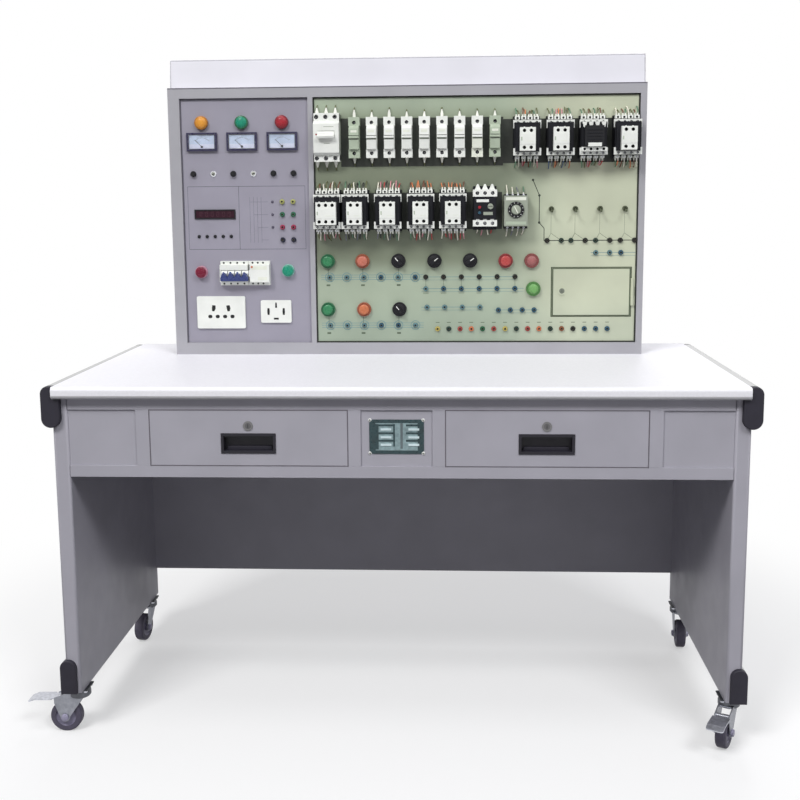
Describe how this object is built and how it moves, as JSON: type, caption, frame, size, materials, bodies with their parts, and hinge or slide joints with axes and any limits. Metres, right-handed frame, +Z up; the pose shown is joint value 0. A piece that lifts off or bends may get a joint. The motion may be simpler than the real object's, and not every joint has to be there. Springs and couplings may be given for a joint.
{
  "type": "electrical skills training bench",
  "caption": "Wheeled workbench with two drawers, a modesty panel and an upright cabinet carrying a control panel and a board of switchgear, buttons, sockets and a fault box.",
  "frame": {"origin": "on the floor under the middle of the worktop", "axes": "+X to the right seen from the front, +Y to the rear, +Z up"},
  "size_m": [1.683, 0.8, 1.615],
  "materials": {
    "grey_paint": "light grey powder coat",
    "zinc_steel": "bright zinc plated",
    "white_paint": "near-white powder coat",
    "wheel_rubber": "dark grey tread",
    "white_plastic": "white moulded",
    "dark_plastic": "dark moulded cases",
    "panel_paint": "light grey panel with printed lines",
    "chrome_metal": "polished plating",
    "board_paint": "pale yellow-green grey",
    "black_plastic": "black",
    "pale_plastic": "pale grey moulded",
    "green_plastic": "green",
    "lamp_plastic": "coloured lenses",
    "meter_plastic": "navy case",
    "needle_metal": "black painted needle",
    "orange_plastic": "orange red",
    "cap_plastic": "black moulded",
    "red_plastic": "red",
    "blue_plastic": "blue",
    "rail_aluminium": "satin extruded section",
    "socket_plastic": "coloured socket heads",
    "white_laminate": "white laminate on a chipboard core, smooth"
  },
  "bodies": {
    "bench": {"apron": "grey_paint", "cabinet_frame": "grey_paint", "cabinet_header": "white_paint", "cabinet_shell": "grey_paint", "caster_mounts": "zinc_steel", "circuit_breakers": "white_plastic", "contactors_and_relays": "dark_plastic", "control_panel": "panel_paint", "drawer_runners": "zinc_steel", "fault_box": "board_paint", "fitting_sleeves": "black_plastic", "fuse_holders": "pale_plastic", "indicator_lamps": "lamp_plastic", "leg_left": "grey_paint", "leg_right": "grey_paint", "meter_cases": "meter_plastic", "modesty_panel": "grey_paint", "mounting_board": "board_paint", "panel_instruments": "black_plastic", "power_outlets": "white_plastic", "rail_end_caps": "cap_plastic", "side_rails": "rail_aluminium", "terminal_sockets": "socket_plastic", "worktop": "white_laminate"},
    "drawer_left": {"drawer_left": "grey_paint"},
    "drawer_lock_left": {"drawer_lock_left": "chrome_metal"},
    "drawer_right": {"drawer_right": "grey_paint"},
    "drawer_lock_right": {"drawer_lock_right": "chrome_metal"},
    "caster_fork_front_left": {"caster_fork_front_left": "zinc_steel"},
    "caster_wheel_front_left": {"caster_wheel_front_left": "wheel_rubber"},
    "brake_pedal_front_left": {"brake_pedal_front_left": "zinc_steel"},
    "caster_fork_front_right": {"caster_fork_front_right": "zinc_steel"},
    "caster_wheel_front_right": {"caster_wheel_front_right": "wheel_rubber"},
    "brake_pedal_front_right": {"brake_pedal_front_right": "zinc_steel"},
    "caster_fork_rear_left": {"caster_fork_rear_left": "zinc_steel"},
    "caster_wheel_rear_left": {"caster_wheel_rear_left": "wheel_rubber"},
    "caster_fork_rear_right": {"caster_fork_rear_right": "zinc_steel"},
    "caster_wheel_rear_right": {"caster_wheel_rear_right": "wheel_rubber"},
    "meter_needle_1": {"meter_needle_1": "needle_metal"},
    "meter_needle_2": {"meter_needle_2": "needle_metal"},
    "meter_needle_3": {"meter_needle_3": "needle_metal"},
    "stop_button": {"stop_button": "red_plastic"},
    "start_button": {"start_button": "green_plastic"},
    "green_button_upper": {"green_button_upper": "green_plastic"},
    "green_button_lower": {"green_button_lower": "green_plastic"},
    "orange_button_upper": {"orange_button_upper": "orange_plastic"},
    "orange_button_lower": {"orange_button_lower": "orange_plastic"},
    "red_button": {"red_button": "red_plastic"},
    "selector_1": {"selector_1": "black_plastic"},
    "selector_2": {"selector_2": "black_plastic"},
    "selector_3": {"selector_3": "black_plastic"},
    "selector_4": {"selector_4": "black_plastic"},
    "toggle_1": {"toggle_1": "chrome_metal"},
    "toggle_2": {"toggle_2": "chrome_metal"},
    "toggle_3": {"toggle_3": "chrome_metal"},
    "toggle_4": {"toggle_4": "chrome_metal"},
    "main_breaker_lever": {"main_breaker_lever": "black_plastic"},
    "residual_breaker_lever": {"residual_breaker_lever": "blue_plastic"},
    "fault_door": {"fault_door": "board_paint"},
    "fault_door_lock": {"fault_door_lock": "chrome_metal"}
  },
  "joints": [
    {"name": "drawer_left_slide", "type": "slide", "parent": "bench", "child": "drawer_left", "axis": [0, -1, 0], "range_m": [0, 0.32]},
    {"name": "drawer_left_lock_turn", "type": "hinge", "parent": "drawer_left", "child": "drawer_lock_left", "pos_m": [-0.333, -0.34, 0.749], "axis": [0, 1, 0], "range_deg": [0, 90]},
    {"name": "drawer_right_slide", "type": "slide", "parent": "bench", "child": "drawer_right", "axis": [0, -1, 0], "range_m": [0, 0.32]},
    {"name": "drawer_right_lock_turn", "type": "hinge", "parent": "drawer_right", "child": "drawer_lock_right", "pos_m": [0.333, -0.34, 0.749], "axis": [0, 1, 0], "range_deg": [0, 90]},
    {"name": "front_left_swivel", "type": "hinge", "parent": "bench", "child": "caster_fork_front_left", "pos_m": [-0.761, -0.31, 0.093], "axis": [0, 0, 1], "continuous": true},
    {"name": "front_left_wheel_spin", "type": "hinge", "parent": "caster_fork_front_left", "child": "caster_wheel_front_left", "pos_m": [-0.795, -0.31, 0.0375], "axis": [0, 1, 0], "continuous": true},
    {"name": "front_left_brake", "type": "hinge", "parent": "caster_fork_front_left", "child": "brake_pedal_front_left", "pos_m": [-0.813, -0.31, 0.079], "axis": [0, 1, 0], "range_deg": [0, 18]},
    {"name": "front_right_swivel", "type": "hinge", "parent": "bench", "child": "caster_fork_front_right", "pos_m": [0.761, -0.31, 0.093], "axis": [0, 0, 1], "continuous": true},
    {"name": "front_right_wheel_spin", "type": "hinge", "parent": "caster_fork_front_right", "child": "caster_wheel_front_right", "pos_m": [0.74504, -0.34002, 0.0375], "axis": [-0.8829, 0.4695, 0], "continuous": true},
    {"name": "front_right_brake", "type": "hinge", "parent": "caster_fork_front_right", "child": "brake_pedal_front_right", "pos_m": [0.73659, -0.35591, 0.079], "axis": [-0.8829, 0.4695, 0], "range_deg": [0, 18]},
    {"name": "rear_left_swivel", "type": "hinge", "parent": "bench", "child": "caster_fork_rear_left", "pos_m": [-0.761, 0.27, 0.093], "axis": [0, 0, 1], "continuous": true},
    {"name": "rear_left_wheel_spin", "type": "hinge", "parent": "caster_fork_rear_left", "child": "caster_wheel_rear_left", "pos_m": [-0.7669, 0.23652, 0.0375], "axis": [-0.9848, 0.1736, 0], "continuous": true},
    {"name": "rear_right_swivel", "type": "hinge", "parent": "bench", "child": "caster_fork_rear_right", "pos_m": [0.761, 0.27, 0.093], "axis": [0, 0, 1], "continuous": true},
    {"name": "rear_right_wheel_spin", "type": "hinge", "parent": "caster_fork_rear_right", "child": "caster_wheel_rear_right", "pos_m": [0.75863, 0.23608, 0.0375], "axis": [-0.9976, 0.0698, 0], "continuous": true},
    {"name": "meter_needle_1_turn", "type": "hinge", "parent": "bench", "child": "meter_needle_1", "pos_m": [-0.534, 0.16, 1.389], "axis": [0, 1, 0], "range_deg": [0, 90], "stiffness_Nm_per_rad": 0.0005},
    {"name": "meter_needle_2_turn", "type": "hinge", "parent": "bench", "child": "meter_needle_2", "pos_m": [-0.428, 0.16, 1.389], "axis": [0, 1, 0], "range_deg": [0, 90], "stiffness_Nm_per_rad": 0.0005},
    {"name": "meter_needle_3_turn", "type": "hinge", "parent": "bench", "child": "meter_needle_3", "pos_m": [-0.322, 0.16, 1.389], "axis": [0, 1, 0], "range_deg": [0, 90], "stiffness_Nm_per_rad": 0.0005},
    {"name": "stop_button_push", "type": "slide", "parent": "bench", "child": "stop_button", "axis": [0, 1, 0], "range_m": [0, 0.004], "stiffness_N_per_m": 800},
    {"name": "start_button_push", "type": "slide", "parent": "bench", "child": "start_button", "axis": [0, 1, 0], "range_m": [0, 0.004], "stiffness_N_per_m": 800},
    {"name": "green_button_upper_push", "type": "slide", "parent": "bench", "child": "green_button_upper", "axis": [0, 1, 0], "range_m": [0, 0.004], "stiffness_N_per_m": 800},
    {"name": "green_button_lower_push", "type": "slide", "parent": "bench", "child": "green_button_lower", "axis": [0, 1, 0], "range_m": [0, 0.004], "stiffness_N_per_m": 800},
    {"name": "orange_button_upper_push", "type": "slide", "parent": "bench", "child": "orange_button_upper", "axis": [0, 1, 0], "range_m": [0, 0.004], "stiffness_N_per_m": 800},
    {"name": "orange_button_lower_push", "type": "slide", "parent": "bench", "child": "orange_button_lower", "axis": [0, 1, 0], "range_m": [0, 0.004], "stiffness_N_per_m": 800},
    {"name": "red_button_push", "type": "slide", "parent": "bench", "child": "red_button", "axis": [0, 1, 0], "range_m": [0, 0.004], "stiffness_N_per_m": 800},
    {"name": "selector_1_turn", "type": "hinge", "parent": "bench", "child": "selector_1", "pos_m": [-0.02, 0.165, 1.088], "axis": [0, 1, 0], "range_deg": [-45, 45]},
    {"name": "selector_2_turn", "type": "hinge", "parent": "bench", "child": "selector_2", "pos_m": [0.075, 0.165, 1.088], "axis": [0, 1, 0], "range_deg": [-45, 45]},
    {"name": "selector_3_turn", "type": "hinge", "parent": "bench", "child": "selector_3", "pos_m": [0.169, 0.165, 1.088], "axis": [0, 1, 0], "range_deg": [-45, 45]},
    {"name": "selector_4_turn", "type": "hinge", "parent": "bench", "child": "selector_4", "pos_m": [-0.018, 0.165, 0.96], "axis": [0, 1, 0], "range_deg": [-45, 45]},
    {"name": "toggle_1_flip", "type": "hinge", "parent": "bench", "child": "toggle_1", "pos_m": [0.38, 0.161, 1.221], "axis": [-1, 0, 0], "range_deg": [0, 26]},
    {"name": "toggle_2_flip", "type": "hinge", "parent": "bench", "child": "toggle_2", "pos_m": [0.442, 0.161, 1.221], "axis": [-1, 0, 0], "range_deg": [0, 26]},
    {"name": "toggle_3_flip", "type": "hinge", "parent": "bench", "child": "toggle_3", "pos_m": [0.506, 0.161, 1.221], "axis": [-1, 0, 0], "range_deg": [0, 26]},
    {"name": "toggle_4_flip", "type": "hinge", "parent": "bench", "child": "toggle_4", "pos_m": [0.57, 0.161, 1.221], "axis": [-1, 0, 0], "range_deg": [0, 26]},
    {"name": "main_breaker_switch", "type": "hinge", "parent": "bench", "child": "main_breaker_lever", "pos_m": [-0.202, 0.126, 1.4165], "axis": [-1, 0, 0], "range_deg": [0, 50]},
    {"name": "residual_breaker_switch", "type": "hinge", "parent": "bench", "child": "residual_breaker_lever", "pos_m": [-0.453, 0.146, 1.058], "axis": [-1, 0, 0], "range_deg": [0, 50]},
    {"name": "fault_door_hinge", "type": "hinge", "parent": "bench", "child": "fault_door", "pos_m": [0.593, 0.1607, 1.004], "axis": [0, 0, 1], "range_deg": [0, 110]},
    {"name": "fault_door_lock_turn", "type": "hinge", "parent": "fault_door", "child": "fault_door_lock", "pos_m": [0.41, 0.165, 1.007], "axis": [0, 1, 0], "range_deg": [0, 90]}
  ]
}
